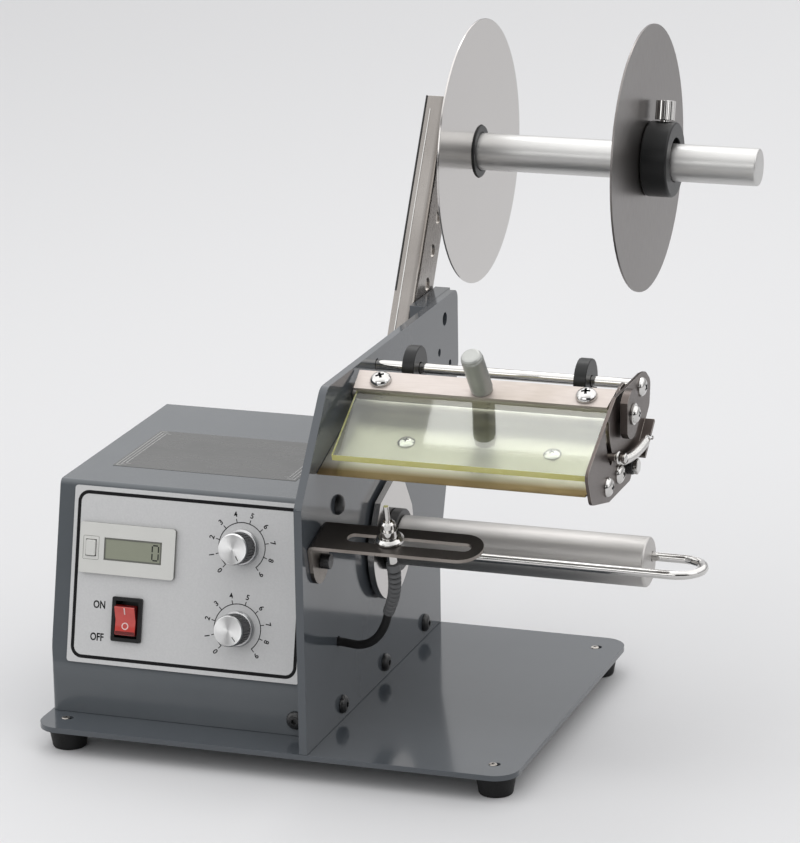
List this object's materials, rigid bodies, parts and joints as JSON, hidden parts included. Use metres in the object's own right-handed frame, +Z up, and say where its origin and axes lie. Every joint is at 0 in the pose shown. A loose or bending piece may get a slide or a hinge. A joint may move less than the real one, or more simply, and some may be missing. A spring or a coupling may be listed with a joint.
{
  "type": "label dispenser",
  "caption": "Desk-top label dispenser: roll spindle with side discs on a strut, clear hinged cover over a peel plate, sensor, driven take-up roller, and a control housing with dials.",
  "frame": {"origin": "on the floor, below the middle of the whole machine", "axes": "+X to the right along the spindle and the rollers, +Y to the rear, +Z up"},
  "size_m": [0.2984, 0.3168, 0.311],
  "materials": {
    "plate_paint": "satin grey-blue paint",
    "housing_paint": "fine textured dark slate paint",
    "stainless": "satin",
    "disc_steel": "polished",
    "aluminium": "satin",
    "chrome": "bright",
    "black_plastic": "matt",
    "grey_plastic": "matt",
    "panel_film": "silver film with a black border",
    "rubber": "matt",
    "grey_rubber": "matt",
    "red_lens": "translucent",
    "display": "display window",
    "clear_yellow": "clear with a yellow tint",
    "board": "satin"
  },
  "bodies": {
    "chassis": {"base_plate": "plate_paint", "foot_front_left": "rubber", "foot_front_right": "rubber", "foot_rear_left": "rubber", "foot_rear_right": "rubber", "main_plate": "plate_paint", "housing_cover": "housing_paint", "control_panel": "panel_film", "counter_body": "grey_plastic", "counter_window": "display", "rocker_frame": "black_plastic", "length_potentiometer": "aluminium", "speed_potentiometer": "aluminium", "circuit_board": "board", "transformer": "black_plastic", "power_inlet": "black_plastic", "gear_motor": "aluminium", "spacer_block": "plate_paint", "roll_strut": "stainless", "strut_bolt_upper": "stainless", "strut_bolt_lower": "stainless", "spindle_bearing": "black_plastic", "peel_plate": "stainless", "cross_bar": "aluminium", "end_plate": "stainless", "guide_rod": "chrome", "cover_spring": "chrome", "bracket_bolt": "black_plastic", "sensor_cable": "rubber"},
    "counter_reset": {"reset_button": "grey_plastic"},
    "power_rocker": {"rocker_key": "red_lens"},
    "length_dial": {"length_knob": "aluminium"},
    "speed_dial": {"speed_knob": "aluminium"},
    "roll_holder": {"roll_spindle": "aluminium", "spindle_retainer": "stainless", "inner_disc": "disc_steel", "inner_hub": "black_plastic"},
    "outer_side": {"outer_disc": "disc_steel", "outer_collar": "black_plastic"},
    "clamp_screw": {"thumbscrew": "chrome"},
    "take_up": {"drive_shaft": "aluminium", "guide_disc": "stainless", "roller_hub": "black_plastic", "take_up_roller": "aluminium"},
    "wire_clip": {"liner_clip": "chrome"},
    "cover": {"clear_cover": "clear_yellow", "clamp_strip": "stainless", "hinge_bar": "stainless", "hinge_arm": "stainless", "strip_screw_left": "chrome", "strip_screw_right": "chrome", "lift_handle": "aluminium", "hinge_link": "stainless", "link_screw": "chrome"},
    "guide_left": {"label_guide_left": "black_plastic"},
    "guide_right": {"label_guide_right": "black_plastic"},
    "sensor_arm": {"sensor_bracket": "stainless"},
    "sensor_head": {"sensor": "chrome", "sensor_nut": "chrome", "strain_relief": "grey_rubber"}
  },
  "joints": [
    {"name": "reset_press", "type": "slide", "parent": "chassis", "child": "counter_reset", "axis": [0, 0.9744, -0.225], "range_m": [0, 0.0014], "stiffness_N_per_m": 300, "springref_m": -0.0005},
    {"name": "rocker_tilt", "type": "hinge", "parent": "chassis", "child": "power_rocker", "pos_m": [-0.11059, -0.12891, 0.06026], "axis": [1, 0, 0], "range_deg": [-16, 0]},
    {"name": "length_turn", "type": "hinge", "parent": "chassis", "child": "length_dial", "pos_m": [-0.05549, -0.12133, 0.09843], "axis": [0, -0.9744, 0.225], "range_deg": [-150, 150]},
    {"name": "speed_turn", "type": "hinge", "parent": "chassis", "child": "speed_dial", "pos_m": [-0.05549, -0.12988, 0.0614], "axis": [0, -0.9744, 0.225], "range_deg": [-150, 150]},
    {"name": "spindle_spin", "type": "hinge", "parent": "chassis", "child": "roll_holder", "pos_m": [-0.01589, 0.0924, 0.2436], "axis": [1, 0, 0], "continuous": true},
    {"name": "outer_side_slide", "type": "slide", "parent": "roll_holder", "child": "outer_side", "axis": [1, 0, 0], "range_m": [-0.08, 0.042]},
    {"name": "clamp_turn", "type": "hinge", "parent": "outer_side", "child": "clamp_screw", "pos_m": [0.08696, 0.0924, 0.24495], "axis": [0, 0.2419, 0.9703], "range_deg": [0, 360]},
    {"name": "take_up_spin", "type": "hinge", "parent": "chassis", "child": "take_up", "pos_m": [-0.01589, -0.0464, 0.0836], "axis": [1, 0, 0], "continuous": true},
    {"name": "clip_pull", "type": "slide", "parent": "take_up", "child": "wire_clip", "axis": [1, 0, 0], "range_m": [0, 0.1]},
    {"name": "cover_hinge", "type": "hinge", "parent": "chassis", "child": "cover", "pos_m": [-0.01589, -0.0844, 0.1666], "axis": [-1, 0, 0], "range_deg": [0, 33], "stiffness_Nm_per_rad": 0.05, "springref_deg": -28.65, "deforming": ["cover_spring"]},
    {"name": "left_guide_slide", "type": "slide", "parent": "chassis", "child": "guide_left", "axis": [1, 0, 0], "range_m": [-0.0152, 0.05]},
    {"name": "right_guide_slide", "type": "slide", "parent": "chassis", "child": "guide_right", "axis": [1, 0, 0], "range_m": [-0.026, 0.0215]},
    {"name": "sensor_tilt", "type": "hinge", "parent": "chassis", "child": "sensor_arm", "pos_m": [-0.00689, -0.1389, 0.1016], "axis": [1, 0, 0], "range_deg": [-20, 20]},
    {"name": "sensor_slide", "type": "slide", "parent": "sensor_arm", "child": "sensor_head", "axis": [1, 0, 0], "range_m": [-0.0168, 0.035]}
  ]
}
